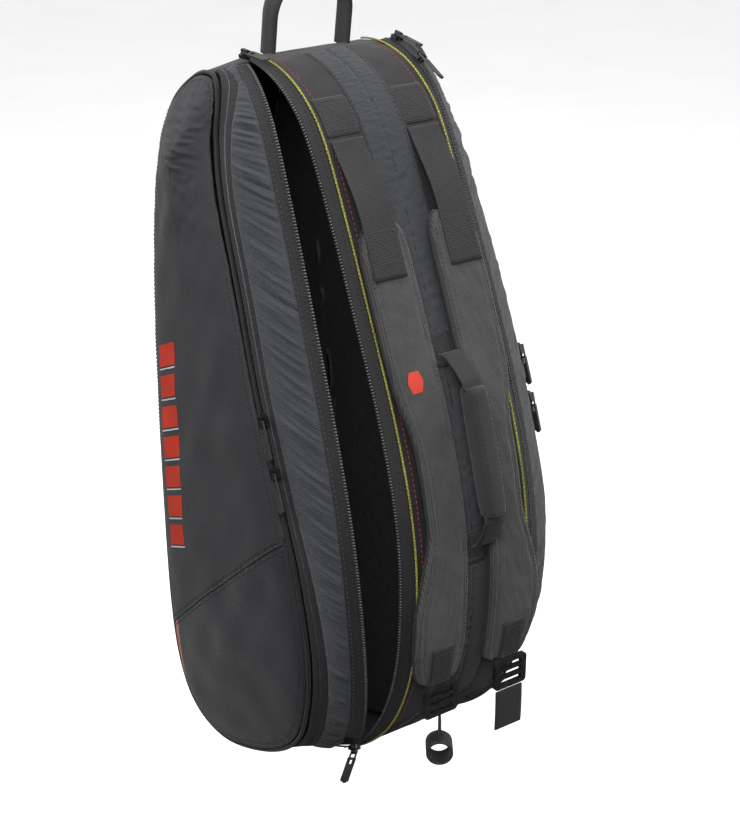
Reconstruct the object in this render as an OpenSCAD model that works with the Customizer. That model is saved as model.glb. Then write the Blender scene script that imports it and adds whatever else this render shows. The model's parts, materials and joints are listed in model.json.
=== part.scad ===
// Racket tournament bag: a teardrop-shaped bag with two racket compartments that open along the spine,
// a zipped accessory pocket in each side, two shoulder straps, a carry handle and a hanging loop.
// Millimetres. X is the thickness (the wearer's back is towards -Y), Z is up.
// The origin is the top of the hanging loop, where a hook holds the bag.
// The bag is one curved band with a lid on each side. Every seam runs along a rail, a smooth curve between
// the band's edge and the lid's edge, and a station number says how far round the bag a point lies:
// 0 is the crest, 11 the foot of the spine, 13 the base and 18 the middle of the far side.

/* [Body] */
// Half the width of the spine band between the two coloured pipings
spine_half = 68; // [60:1:76]
// Thickness of the padded spine panel
spine_thick = 8; // [5:0.5:10]
// Thickness of the fabric walls
wall = 3; // [2:0.5:4]
// Thickness of the padded lids
lid_thick = 5; // [3:0.5:7]
// How far each lid bulges beyond its edge
lid_bulge = 13; // [6:1:18]
// How far each gusset bulges outside its chord
gusset_bulge = 10; // [4:1:14]

/* [Zips] */
// Width of the zip tape on the spine side
spine_tape = 14; // [10:1:16]
// Width of the zip tape on the lip of each gusset
lip_tape = 16; // [12:1:20]
// Width of the band that carries the accessory pocket's zip
pocket_band = 20; // [16:1:24]
// Angle that the left racket compartment stands open
left_open = 20; // [0:1:22]
// Length of each zip pull
pull_length = 38; // [28:1:42]

/* [Straps] */
// Distance from the middle of the bag to the middle of each shoulder strap's webbing
strap_x = 44; // [42:1:46]
// Width of the shoulder straps' webbing
webbing_w = 36; // [30:1:38]
// Thickness of the shoulder pads
pad_thick = 11; // [8:1:12]
// Height of the carry handle's grip above its anchors
handle_rise = 42; // [36:1:50]
// Height of the hanging loop
loop_height = 75; // [60:5:90]

/* [Hidden] */
$fn = 48;

// Outline of the spine band, as [y, z], from the crest down the spine, round the base and up the far side
BAND = [
    [-12, -75], [-55, -82.5], [-92, -104], [-120, -137.5], [-155, -208], [-195, -298], [-231, -384],
    [-256, -468], [-264, -550], [-255, -635], [-222, -708], [-165, -762], [-90, -798], [-10, -824],
    [52, -812], [88, -768], [96, -690], [92, -560], [90, -420], [88, -280], [84, -180], [66, -115], [28, -83]
];
// Outline of the lid's edge, as [x, y, z], at the same stations
LID = [
    [118, -6, -84], [121, -20, -93], [125, -26, -112], [130, -30, -140], [138, -48, -190], [145, -85, -272],
    [150, -118, -355], [151, -151, -440], [150, -182, -528], [146, -195, -618], [140, -181, -690],
    [134, -150, -742], [132, -94, -782], [132, -15, -810], [132, 44, -802], [132, 77, -764], [136, 86, -688],
    [140, 84, -560], [141, 82, -420], [138, 80, -280], [132, 74, -188], [126, 56, -125], [118, 24, -92]
];
stations = len(BAND);
foot = 11;             // station at the foot of the spine
mouth_end = 10.5;      // station where each racket compartment's zip ends
teeth_gap = 3.5;       // room for the closed zip's teeth between its two tapes
lip_start = spine_tape + teeth_gap;
lip_first = 0.35;      // stations where the zip tape of each lip starts and stops
lip_last = mouth_end - 0.15;
closed_to = 1.8;       // the right mouth stays zipped from the crest to this station
core_top = [10, -170]; // the lids are drawn in towards the line between these two [y, z] points
core_foot = [-60, -640];
core_x = 147;
lid_gap = 4.5;         // room between the lid's piping and the fabric beside it
piping_r = 1.5;
lid_piping_r = 2.2;
pad_lift = 3.5;        // clearance of the shoulder pads above the spine
eps = 0.01;

function range(a, b, step) = [for (u = [a:step:b + eps]) min(u, b)];

// ---- smooth curves through a closed list of points ----
function wrap(i, n) = (i % n + n) % n;
function blend4(a, b, c, d, f) =
    0.5 * (2 * b + (c - a) * f + (2 * a - 5 * b + 4 * c - d) * f * f + (3 * b - a - 3 * c + d) * f * f * f);
function on_curve(points, u) =
    let (n = len(points), i = floor(u), f = u - i)
    blend4(points[wrap(i - 1, n)], points[wrap(i, n)], points[wrap(i + 1, n)], points[wrap(i + 2, n)], f);
function unit(v) = v / norm(v);
function band(u) = on_curve(BAND, u);
function lid(u) = on_curve(LID, u);
function band_run(u) = unit(band(u + 0.02) - band(u - 0.02));
function outward(u) = let (t = band_run(u)) [t[1], -t[0]];
// A point above the spine: x across, u the station, lift the height over the band
function over(x, u, lift) = let (p = band(u) + lift * outward(u)) [x, p[0], p[1]];

// ---- the section at a station: from the band's edge, across the gusset, to the lid's edge ----
function seam(u) = over(spine_half, u, 0);
function chord(u) = lid(u) - seam(u);
function section_out(u) =
    let (n = outward(u), c = chord(u), inset = -(c[1] * n[0] + c[2] * n[1]))
    unit([inset, c[0] * n[0], c[0] * n[1]]);
function puff(u) = min(1, max(0, (norm(chord(u)) - 60) / 60));
function rail(u, fraction, bulge) = seam(u) + chord(u) * fraction + section_out(u) * bulge;
function from_seam(u, d, bulge) = rail(u, d / norm(chord(u)), bulge);
function from_lid(u, d, bulge) = rail(u, 1 - d / norm(chord(u)), bulge);
function inwards(p, u, depth) = p - section_out(u) * depth;
// The two tapes narrow where the gusset runs out over the crest
function pocket_w(u) = min(pocket_band, 0.3 * norm(chord(u)));
function lip_w(u) = min(lip_tape, 0.2 * norm(chord(u)));
function pocket_edge(u) = from_lid(u, pocket_w(u), (gusset_bulge + 3) * puff(u));
function lip_edge(u, d) = from_seam(u, d, 4 + 4 * (d - spine_tape) / lip_tape * puff(u));

// ---- the mouth of a racket compartment swings about the chord between the ends of its zip ----
hinge_top = lip_edge(0, lip_start);
hinge_foot = lip_edge(mouth_end, lip_start);
hinge_axis = unit(hinge_foot - hinge_top);
function swing(p, angle) =
    let (v = p - hinge_top, k = hinge_axis)
    hinge_top + v * cos(angle) + cross(k, v) * sin(angle) + k * (k * v) * (1 - cos(angle));

// ---- solids between two grids of points ----
function grid_faces(rows, cols, base, flip) = [
    for (i = [0:rows - 2], j = [0:cols - 2])
        let (a = base + i * cols + j, b = a + 1, c = a + cols, d = c + 1)
        each (flip ? [[a, b, d], [a, d, c]] : [[a, d, b], [a, c, d]])
];
function rim_faces(path, shift) = [
    for (k = [0:len(path) - 1])
        let (a = path[k], b = path[wrap(k + 1, len(path))])
        each [[a, b, b + shift], [a, b + shift, a + shift]]
];
function rim_path(rows, cols) = concat(
    [for (j = [0:cols - 1]) j],
    [for (i = [1:rows - 1]) i * cols + cols - 1],
    [for (j = [cols - 2:-1:0]) (rows - 1) * cols + j],
    [for (i = [rows - 2:-1:1]) i * cols]
);
// A fabric wall: outer and inner are grids of the same size, with rows along the seam
module skin(outer, inner) {
    rows = len(outer);
    cols = len(outer[0]);
    count = rows * cols;
    points = concat([for (r = outer) each r], [for (r = inner) each r]);
    faces = concat(
        grid_faces(rows, cols, 0, false),
        grid_faces(rows, cols, count, true),
        rim_faces(rim_path(rows, cols), count)
    );
    polyhedron(points, faces);
}
// A wall whose inner face lies straight behind its outer one
module wall_skin(us, row, thick) {
    skin([for (u = us) row(u)], [for (u = us) [for (p = row(u)) inwards(p, u, thick)]]);
}
// A round cord along a list of points, closed into a ring or with flat ends
module cord(points, radius, closed) {
    sides = 6;
    n = len(points);
    rings = [
        for (i = [0:n - 1])
            let (
                before = closed ? points[wrap(i - 1, n)] : points[max(i - 1, 0)],
                after = closed ? points[wrap(i + 1, n)] : points[min(i + 1, n - 1)],
                t = unit(after - before),
                a = unit(cross(t, [1, 0, 0])),
                b = cross(t, a)
            )
            [for (k = [0:sides - 1], t = 360 * k / sides)
                points[i] + radius * (a * cos(t) + b * sin(t))]
    ];
    last = closed ? n - 1 : n - 2;
    tube = [
        for (i = [0:last], k = [0:sides - 1])
            let (
                a = i * sides + k,
                b = i * sides + wrap(k + 1, sides),
                c = wrap(i + 1, n) * sides + k,
                d = wrap(i + 1, n) * sides + wrap(k + 1, sides)
            )
            each [[a, b, d], [a, d, c]]
    ];
    caps = closed ? [] : [
        [for (k = [sides - 1:-1:0]) k],
        [for (k = [0:sides - 1]) (n - 1) * sides + k]
    ];
    polyhedron([for (r = rings) each r], concat(tube, caps));
}
// A dished panel: rings of points drawn in to one middle point, shifted along x for its thickness
module dish(rings, middle, thick) {
    m = len(rings);
    n = len(rings[0]);
    count = m * n + 1;
    front = concat([for (r = rings) each r], [middle]);
    back = [for (p = front) p - [thick, 0, 0]];
    function turn(f, flip) = flip ? [f[0], f[2], f[1]] : f;
    function face_list(base, flip) = concat(
        [
            for (i = [0:m - 2], j = [0:n - 1])
                let (a = base + i * n + j, b = base + i * n + wrap(j + 1, n), c = a + n, d = b + n)
                each [turn([a, b, d], flip), turn([a, d, c], flip)]
        ],
        [
            for (j = [0:n - 1])
                let (a = base + (m - 1) * n + j, b = base + (m - 1) * n + wrap(j + 1, n))
                turn([a, b, base + count - 1], flip)
        ]
    );
    rim = [
        for (j = [0:n - 1])
            let (a = j, b = wrap(j + 1, n))
            each [[a, a + count, b], [b, a + count, b + count]]
    ];
    polyhedron(concat(front, back), concat(face_list(0, false), face_list(count, true), rim));
}
module side(left) {
    mirror([left ? 1 : 0, 0, 0]) children();
}
// A flat strip that follows the band: its section is drawn in the YZ plane and extruded across
module strip(us, x_low, x_high, low, high) {
    outline = concat(
        [for (u = us) band(u) + high * outward(u)],
        [for (k = [len(us) - 1:-1:0]) band(us[k]) + low * outward(us[k])]
    );
    translate([x_low, 0, 0]) rotate([90, 0, 90]) linear_extrude(x_high - x_low) polygon(outline);
}
// A local frame: the origin on the bag, local x along run, local z along out
module place(origin, run, out) {
    z = unit(out);
    y = unit(cross(z, run));
    x = cross(y, z);
    multmatrix([
        [x[0], y[0], z[0], origin[0]],
        [x[1], y[1], z[1], origin[1]],
        [x[2], y[2], z[2], origin[2]],
        [0, 0, 0, 1]
    ]) children();
}

// ---- spine, walls and divider ----
module spine_panel() {
    color("#1b1c1e") strip(range(0, foot, 0.25), -spine_half, spine_half, -spine_thick, 0);
}
module spine_center_panel() {
    color("#2b2e35") strip(range(0.25, 9.75, 0.25), -24, 24, 0, 2);
}
module spine_stiffener() {
    color("#3a3a3a") strip(range(1, 10, 0.25), -60, 60, -spine_thick - 2, -spine_thick);
}
module center_divider() {
    inset = spine_thick + 5;
    outline = [for (u = range(0, stations - 0.5, 0.5)) band(u) - inset * outward(u)];
    color("#26272a") translate([-2.5, 0, 0]) rotate([90, 0, 90]) linear_extrude(5) polygon(outline);
}
function back_row(u) =
    let (edge = from_lid(u, lid_gap, 0), s = over(spine_half, u, 0), c = over(0, u, 0))
    [edge, s, c, [-s[0], s[1], s[2]], [-edge[0], edge[1], edge[2]]];
module back_gusset() {
    us = range(foot, stations, 0.5);
    function drop(p, u) = let (n = outward(u)) p - wall * [0, n[0], n[1]];
    color("#1e2024") skin(
        [for (u = us) back_row(u)],
        [for (u = us) [for (p = back_row(u)) drop(p, u)]]
    );
}
function lip_far(u, open) = swing(lip_edge(u, lip_start + lip_w(u) + 1), u > mouth_end ? 0 : -open);
function gusset_row(u, open) =
    let (
        a = lip_far(u, open),
        b = pocket_edge(u),
        slack = gusset_bulge * puff(u) * (open > 0 ? 0.8 : 0.35),
        out = section_out(u)
    )
    [a, a + (b - a) * 0.35 + out * slack, a + (b - a) * 0.7 + out * slack, b];
module gusset(open) {
    us = range(0.05, foot - 0.05, 0.5);
    color("#23262d") wall_skin(us, function(u) gusset_row(u, open), wall);
}
module left_gusset() {
    side(true) gusset(left_open);
}
module right_gusset() {
    side(false) gusset(0);
}

// ---- zip tapes ----
module spine_zip_tape() {
    us = range(0, foot, 0.5);
    function row(u) = [from_seam(u, 0.4, 0), from_seam(u, spine_tape, 4)];
    // The inner face stops beside the spine panel
    function behind(p, u) = let (q = inwards(p, u, wall)) [max(q[0], spine_half + 0.3), q[1], q[2]];
    color("#17181a") skin([for (u = us) row(u)], [for (u = us) [for (p = row(u)) behind(p, u)]]);
}
module left_spine_zip_tape() {
    side(true) spine_zip_tape();
}
module right_spine_zip_tape() {
    side(false) spine_zip_tape();
}
module lip_zip_tape(us, open) {
    function row(u) = [
        for (d = [lip_start, lip_start + lip_w(u)]) swing(lip_edge(u, d), -open)
    ];
    color("#1d1f22") wall_skin(us, function(u) row(u), wall);
}
module left_lip_zip_tape() {
    side(true) lip_zip_tape(range(lip_first, lip_last, 0.5), left_open);
}
module right_lip_zip_tape() {
    lip_zip_tape(range(closed_to, lip_last, 0.5), 0);
}
module right_lip_tape_top() {
    lip_zip_tape(range(lip_first, closed_to - 0.02, 0.25), 0);
}
module pocket_zip_tape() {
    function row(u) = [pocket_edge(u) + [0.4, 0, 0], from_lid(u, lid_gap, 2)];
    color("#121314") wall_skin(range(0, foot, 0.5), function(u) row(u), wall);
}
module left_pocket_zip_tape() {
    side(true) pocket_zip_tape();
}
module right_pocket_zip_tape() {
    side(false) pocket_zip_tape();
}

// ---- lids and the walls behind them ----
function core(p) =
    let (a = core_top, ab = core_foot - core_top, ap = [p[1], p[2]] - a, f = (ap * ab) / (ab * ab))
    a + ab * min(1, max(0, f));
// A point on a lid, drawn in from its edge by a fraction and raised along x
function drawn_in(p, fraction, raise) =
    let (c = core(p)) p + ([core_x, c[0], c[1]] - p) * fraction + [raise, 0, 0];
module lid_dish() {
    us = range(0, stations - 0.5, 0.5);
    steps = [[0.1, lid_bulge * 0.5], [0.35, lid_bulge * 0.85], [0.8, lid_bulge]];
    // The edge stops just inside the piping
    function to_core(p) = let (c = core(p)) norm([core_x, c[0], c[1]] - p);
    edge = [for (u = us) drawn_in(lid(u), (lid_piping_r + 0.9) / to_core(lid(u)), 1.8)];
    rings = [for (s = steps) [for (u = us) drawn_in(lid(u), s[0], s[1])]];
    dish(concat([edge], rings), [core_x + lid_bulge, -27, -420], lid_thick);
}
// The half-space below the slanted seam of the lid
module below_seam() {
    translate([0, -53, -596]) rotate([-40, 0, 0]) translate([0, -400, -500]) cube([300, 800, 500]);
}
module lid_upper() {
    color("#222326") difference() {
        lid_dish();
        below_seam();
    }
}
module lid_lower() {
    color("#262932") intersection() {
        lid_dish();
        below_seam();
    }
}
module left_lid_upper() {
    side(true) lid_upper();
}
module left_lid_lower() {
    side(true) lid_lower();
}
module right_lid_upper() {
    side(false) lid_upper();
}
module right_lid_lower() {
    side(false) lid_lower();
}
module lid_piping() {
    color("#0e0f10") cord([for (u = range(0, stations - 0.5, 0.5)) lid(u)], lid_piping_r, true);
}
module left_lid_piping() {
    side(true) lid_piping();
}
module right_lid_piping() {
    side(false) lid_piping();
}
module inner_wall() {
    us = range(0, stations - 0.5, 0.5);
    function rim(u) = inwards(from_lid(u, u < foot ? pocket_w(u) : lid_gap + 1, 0), u, wall + 1);
    flat_x = 116;
    rings = [
        [for (u = us) rim(u)],
        [for (u = us) let (p = drawn_in(rim(u), 0.25, 0)) [flat_x, p[1], p[2]]],
        [for (u = us) let (p = drawn_in(rim(u), 0.8, 0)) [flat_x, p[1], p[2]]]
    ];
    color("#2c2d30") dish(rings, [flat_x, -27, -420], wall);
}
module left_inner_wall() {
    side(true) inner_wall();
}
module right_inner_wall() {
    side(false) inner_wall();
}
module spine_piping() {
    points = [for (u = range(-0.6, foot + 0.6, 0.4)) over(spine_half, u, piping_r + 0.25)];
    color("#d6d83c") cord(points, piping_r, false);
}
module left_spine_piping() {
    side(true) spine_piping();
}
module right_spine_piping() {
    side(false) spine_piping();
}

// ---- hanging loop, anchors and straps ----
// An arch in the drawing plane, from its top down to a level below the origin
module arch(half, top, drop) {
    translate([0, top - half]) circle(half);
    translate([-half, -drop]) square([2 * half, drop + top - half]);
}
module haul_loop() {
    span = 90;
    strap = 24;
    thick = 3;
    foot_y = 12;
    drop = loop_height + 6;
    color("#202123") rotate([90 + atan2(foot_y, drop), 0, 0]) translate([0, 0, -strap / 2])
        linear_extrude(strap) difference() {
            arch(span / 2, thick, drop);
            arch(span / 2 - thick, 0, drop + 1);
        }
}
// A flat patch sewn to the spine, centred across x at station u
module patch(x, u, length, width, lift) {
    p = over(x, u, lift);
    n = outward(u);
    place(p, [0, band_run(u)[0], band_run(u)[1]], [0, n[0], n[1]])
        translate([-length / 2, -width / 2, 0]) cube([length, width, 1.6]);
}
strap_hinge_u = 2.95;
module strap_anchor() {
    color("#1a1a1b") patch(strap_x, 2.4, 38, webbing_w + 2, 0.3);
}
module left_strap_anchor() {
    side(true) strap_anchor();
}
module right_strap_anchor() {
    side(false) strap_anchor();
}
module lower_anchor() {
    color("#1a1a1b") patch(strap_x, 10.2, 34, webbing_w, 0.3);
}
module left_lower_anchor() {
    side(true) lower_anchor();
}
module right_lower_anchor() {
    side(false) lower_anchor();
}
// ---- carry handle: an arch of webbing that stands over the spine between two sewn anchors ----
handle_top_u = 5.35;
handle_foot_u = 7.45;
hinge_lift = 9;
roll_r = 3;
handle_top = over(0, handle_top_u, hinge_lift);
handle_foot = over(0, handle_foot_u, hinge_lift);
handle_run = unit(handle_foot - handle_top);
handle_out = [0, handle_run[2], -handle_run[1]];
handle_span = norm(handle_foot - handle_top);
grip_start = 32;
grip_w = 22;
grip_h = 26;
module in_handle() {
    place(handle_top, handle_run, handle_out) children();
}
module handle_anchors() {
    color("#1a1a1b") {
        for (u = [handle_top_u - 0.05, handle_foot_u + 0.05]) patch(0, u, 34, 26, 2.5);
        for (x = [-4, handle_span - 6]) in_handle() {
            translate([x, 0, 0]) rotate([0, 90, 0]) cylinder(r = roll_r, h = 10);
            translate([x, -1.5, -6.6]) cube([10, 3, 5]);
        }
    }
}
module grip_solid() {
    corner = 7;
    in_handle() translate([grip_start, 0, handle_rise - hinge_lift]) rotate([0, 90, 0])
        linear_extrude(handle_span - 2 * grip_start) {
            square([grip_h, grip_w - 2 * corner], center = true);
            square([grip_h - 2 * corner, grip_w], center = true);
            for (a = [-1, 1], b = [-1, 1])
                translate([a * (grip_h / 2 - corner), b * (grip_w / 2 - corner)]) circle(corner);
        }
}
module handle_webbing() {
    top = handle_rise - hinge_lift;
    half = 1.25;
    width = 22;
    over_side = [[-half, roll_r + 0.5], [2, 14], [grip_start - 8, top + half]];
    under_side = [[half, roll_r + 0.5], [2 + 2 * half, 13], [grip_start - 7, top - half]];
    function far(p) = [handle_span - p[0], p[1]];
    outline = concat(
        over_side,
        [for (k = [2:-1:0]) far(over_side[k])],
        [for (p = under_side) far(p)],
        [for (k = [2:-1:0]) under_side[k]]
    );
    color("#151516") difference() {
        in_handle() translate([0, width / 2, 0]) rotate([90, 0, 0]) linear_extrude(width) polygon(outline);
        grip_solid();
    }
}
module handle_grip() {
    color("#333437") grip_solid();
}
// Outline of a shoulder pad: the far edge from the middle of the bag, cut away beside the carry handle
pad_inner = 14;
PAD = [
    [4.0, 63], [4.3, 68], [5.2, 68], [5.7, 66], [6.1, 57],
    [7.2, 56], [7.7, 68], [8.1, 76], [8.7, 75], [9.1, 66]
];
pad_u = [for (p = PAD) p[0]];
module shoulder_pad() {
    us = range(4.0, 9.1, 0.3);
    function far(u) = lookup(u, PAD);
    function row(u, low) = [
        for (f = [0, 0.12, 0.5, 0.88, 1])
            let (crown = pad_thick * (1 - pow(abs(2 * f - 1), 4) * 0.55))
            over(far(u) + (pad_inner - far(u)) * f, u, pad_lift + (low ? 0 : crown))
    ];
    color("#3b3c3e") skin([for (u = us) row(u, false)], [for (u = us) row(u, true)]);
}
module left_shoulder_pad() {
    side(true) shoulder_pad();
}
module right_shoulder_pad() {
    side(false) shoulder_pad();
}
// A webbing band over the spine, rising from one lift to another
module webbing(us, lift_a, lift_b, x, width) {
    n = len(us);
    function height(k) = lift_a + (lift_b - lift_a) * k / (n - 1);
    outline = concat(
        [for (k = [0:n - 1]) band(us[k]) + (height(k) + 2) * outward(us[k])],
        [for (k = [n - 1:-1:0]) band(us[k]) + height(k) * outward(us[k])]
    );
    translate([x - width / 2, 0, 0]) rotate([90, 0, 90]) linear_extrude(width) polygon(outline);
}
module strap_webbing() {
    top = pad_lift + pad_thick;
    color("#1d1e1f") {
        webbing(range(strap_hinge_u, 3.95, 0.25), 1.5, top, strap_x, webbing_w);
        webbing(range(3.95, 4.55, 0.3), top, top, strap_x, webbing_w);
    }
}
module left_strap_webbing() {
    side(true) strap_webbing();
}
module right_strap_webbing() {
    side(false) strap_webbing();
}
// The lower patch holds the ladder-lock in a short fold of webbing
module strap_patch() {
    top = pad_lift + pad_thick;
    color("#1d1e1f") webbing(range(8.55, 9.1, 0.1), top + 0.5, top + 0.5, strap_x, 26);
}
module left_strap_patch() {
    side(true) strap_patch();
}
module right_strap_patch() {
    side(false) strap_patch();
}

// ---- ladder-locks and the webbing that hangs from them ----
buckle_w = 40;
buckle_h = 33;
buckle_y = -273;
buckle_top = -643;
buckle_thick = 5;
module buckle() {
    slot_w = 28;
    slot_h = 6;
    color("#0b0b0c") translate([strap_x, buckle_y, buckle_top - buckle_h / 2]) difference() {
        union() {
            cube([buckle_w, buckle_thick, buckle_h - 8], center = true);
            cube([buckle_w - 8, buckle_thick, buckle_h], center = true);
            for (a = [-1, 1], b = [-1, 1]) translate([a * (buckle_w / 2 - 4), 0, b * (buckle_h / 2 - 4)])
                rotate([90, 0, 0]) cylinder(r = 4, h = buckle_thick, center = true);
        }
        for (z = [-9, 0, 9]) translate([0, 0, z]) cube([slot_w, buckle_thick + 2, slot_h], center = true);
    }
}
module left_buckle() {
    side(true) buckle();
}
module right_buckle() {
    side(false) buckle();
}
tail_top = buckle_top - buckle_h - 3.5;
// The left tail is folded into a rolled bight, turned towards the left lid
module left_webbing_tail() {
    ring = 14;
    thick = 3.5;
    width = 22;
    color("#141415") translate([-strap_x, buckle_y, tail_top]) rotate([90, 0, -36])
        linear_extrude(width, center = true) difference() {
            union() {
                translate([0, -36]) circle(ring);
                translate([-2.5, -30]) square([5, 30]);
            }
            translate([0, -36]) circle(ring - thick);
        }
}
// The right tail hangs flat
module right_webbing_tail() {
    color("#141415") translate([strap_x - 17, buckle_y - 2, tail_top - 44]) cube([34, 4, 44]);
}
module lower_webbing() {
    color("#18181a") webbing([9.5, 9.7, 9.9, 10.05], 14, 2.4, strap_x, 26);
}
module left_lower_webbing() {
    side(true) lower_webbing();
}
module right_lower_webbing() {
    side(false) lower_webbing();
}

// ---- zip sliders and pulls: local x runs down the zip, local z points out of the bag ----
body_l = 14;
body_w = 10;
body_h = 3.5;
pin_z = 5.3;
pin_r = 1;
slider_lift = 2.3;
module slider_solid() {
    color("#3c3e40") {
        difference() {
            union() {
                translate([0, 0, body_h / 2]) cube([body_l - body_w / 2, body_w, body_h], center = true);
                for (x = [-1, 1]) translate([x * (body_l / 2 - body_w / 4), 0, 0])
                    cylinder(r = body_w / 4, h = body_h);
            }
            translate([-body_l, -0.6, -eps]) cube([2 * body_l, 1.2, 0.8]);
        }
        difference() {
            translate([-4.6, -1.6, body_h - eps]) cube([9.2, 3.2, 4.2]);
            translate([-3.2, -2, body_h]) cube([6.4, 4, 3.1]);
        }
    }
}
// angle is how far the pull stands out from the zip
module pull_solid(angle) {
    arm = 1.4;
    arm_y = 2.2;
    tab_start = 8;
    tab_w = 8.6;
    color("#26282a") translate([0, 0, pin_z]) rotate([0, -angle, 0]) {
        rotate([90, 0, 0]) cylinder(r = pin_r, h = 2 * (arm_y + arm), center = true);
        for (s = [-1, 1]) translate([-0.8, s * (arm_y + arm / 2) - arm / 2, -0.8])
            cube([tab_start + 1.8, arm, 1.6]);
        difference() {
            union() {
                translate([tab_start, -tab_w / 2, -1.1]) cube([pull_length - tab_start - 2, tab_w, 2.2]);
                translate([pull_length - 3, 0, -1.1]) cylinder(r = 3, h = 2.2);
            }
            translate([tab_start + 2, -1.6, -2]) cube([6, 3.2, 4]);
        }
    }
}
function mouth_line(u) = from_seam(u, spine_tape + teeth_gap / 2, 4);
function run_of(a, b) = unit(b - a);
module on_mouth(u) {
    place(
        mouth_line(u) + section_out(u) * slider_lift,
        run_of(mouth_line(u - 0.05), mouth_line(u + 0.05)),
        section_out(u)
    ) children();
}
function pocket_line(u) = (pocket_edge(u) + from_lid(u, lid_gap, 2)) / 2;
function pocket_across(u) = unit(from_lid(u, lid_gap, 2) - pocket_edge(u));
function pocket_run(u) = run_of(pocket_line(u - 0.3), pocket_line(u + 0.3));
function pocket_out(u) = unit(cross(pocket_run(u), pocket_across(u)));
module on_pocket(u) {
    place(pocket_line(u) + pocket_out(u) * 2 * slider_lift, pocket_run(u), pocket_out(u)) children();
}
top_slider_u = 0.1;
foot_slider_u = mouth_end + 0.15;
right_top_u = 0.4;
right_lower_u = 1.35;
upper_pocket_u = 6.3;
lower_pocket_u = 6.85;
function droop(u) = atan2(-section_out(u)[2], -run_of(mouth_line(u - 0.05), mouth_line(u + 0.05))[2]);
module left_top_slider() {
    side(true) on_mouth(top_slider_u) slider_solid();
}
module left_top_pull() {
    side(true) on_mouth(top_slider_u) pull_solid(0);
}
module left_bottom_slider() {
    side(true) on_mouth(foot_slider_u) slider_solid();
}
module left_bottom_pull() {
    side(true) on_mouth(foot_slider_u) pull_solid(droop(foot_slider_u));
}
module right_top_slider() {
    on_mouth(right_top_u) slider_solid();
}
module right_top_pull() {
    on_mouth(right_top_u) pull_solid(0);
}
module right_lower_slider() {
    on_mouth(right_lower_u) slider_solid();
}
module right_lower_pull() {
    on_mouth(right_lower_u) pull_solid(0);
}
module left_pocket_upper_slider() {
    side(true) on_pocket(upper_pocket_u) slider_solid();
}
module left_pocket_upper_pull() {
    side(true) on_pocket(upper_pocket_u) pull_solid(0);
}
module left_pocket_lower_slider() {
    side(true) on_pocket(lower_pocket_u) slider_solid();
}
module left_pocket_lower_pull() {
    side(true) on_pocket(lower_pocket_u) pull_solid(0);
}
module right_pocket_upper_slider() {
    side(false) on_pocket(upper_pocket_u) slider_solid();
}
module right_pocket_upper_pull() {
    side(false) on_pocket(upper_pocket_u) pull_solid(0);
}
module right_pocket_lower_slider() {
    side(false) on_pocket(lower_pocket_u) slider_solid();
}
module right_pocket_lower_pull() {
    side(false) on_pocket(lower_pocket_u) pull_solid(0);
}

spine_panel();
spine_center_panel();
spine_stiffener();
back_gusset();
center_divider();
left_gusset();
right_gusset();
left_spine_zip_tape();
right_spine_zip_tape();
left_inner_wall();
right_inner_wall();
left_pocket_zip_tape();
right_pocket_zip_tape();
left_spine_piping();
right_spine_piping();
haul_loop();
left_strap_anchor();
right_strap_anchor();
left_lower_anchor();
right_lower_anchor();
handle_anchors();
right_lip_tape_top();
left_lower_webbing();
right_lower_webbing();
left_lip_zip_tape();
right_lip_zip_tape();
left_lid_upper();
left_lid_lower();
left_lid_piping();
right_lid_upper();
right_lid_lower();
right_lid_piping();
left_top_slider();
left_top_pull();
left_bottom_slider();
left_bottom_pull();
right_top_slider();
right_top_pull();
right_lower_slider();
right_lower_pull();
left_pocket_upper_slider();
left_pocket_upper_pull();
left_pocket_lower_slider();
left_pocket_lower_pull();
right_pocket_upper_slider();
right_pocket_upper_pull();
right_pocket_lower_slider();
right_pocket_lower_pull();
handle_webbing();
handle_grip();
left_strap_webbing();
left_shoulder_pad();
left_strap_patch();
right_strap_webbing();
right_shoulder_pad();
right_strap_patch();
left_buckle();
right_buckle();
left_webbing_tail();
right_webbing_tail();
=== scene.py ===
"""Racket tournament bag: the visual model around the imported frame. Lengths below are in millimetres."""

import json
import math

import bmesh
import bpy
import numpy as np
from mathutils import Matrix, Vector
from mathutils.bvhtree import BVHTree


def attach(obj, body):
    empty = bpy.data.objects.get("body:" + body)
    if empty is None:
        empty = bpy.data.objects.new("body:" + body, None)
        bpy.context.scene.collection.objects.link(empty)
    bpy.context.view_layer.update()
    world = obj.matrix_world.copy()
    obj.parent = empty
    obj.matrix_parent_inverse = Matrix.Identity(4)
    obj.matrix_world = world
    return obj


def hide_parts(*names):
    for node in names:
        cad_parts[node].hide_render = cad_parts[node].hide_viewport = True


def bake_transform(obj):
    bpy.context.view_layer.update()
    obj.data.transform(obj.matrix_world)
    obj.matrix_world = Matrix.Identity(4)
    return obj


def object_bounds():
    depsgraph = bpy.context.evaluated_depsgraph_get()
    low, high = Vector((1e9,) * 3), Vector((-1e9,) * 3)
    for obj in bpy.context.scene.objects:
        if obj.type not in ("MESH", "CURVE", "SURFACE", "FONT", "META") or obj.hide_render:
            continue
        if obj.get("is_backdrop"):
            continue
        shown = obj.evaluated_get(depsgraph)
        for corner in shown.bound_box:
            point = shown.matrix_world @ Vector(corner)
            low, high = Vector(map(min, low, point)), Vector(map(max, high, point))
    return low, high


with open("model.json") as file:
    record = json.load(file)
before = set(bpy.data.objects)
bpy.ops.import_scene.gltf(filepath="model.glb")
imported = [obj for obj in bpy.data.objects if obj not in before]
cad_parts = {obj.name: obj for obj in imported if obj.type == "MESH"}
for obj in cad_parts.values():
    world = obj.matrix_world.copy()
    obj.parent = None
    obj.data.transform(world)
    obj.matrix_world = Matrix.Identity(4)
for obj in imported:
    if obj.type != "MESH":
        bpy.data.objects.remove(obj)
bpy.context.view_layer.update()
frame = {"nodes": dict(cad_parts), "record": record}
MM = 0.001

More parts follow.
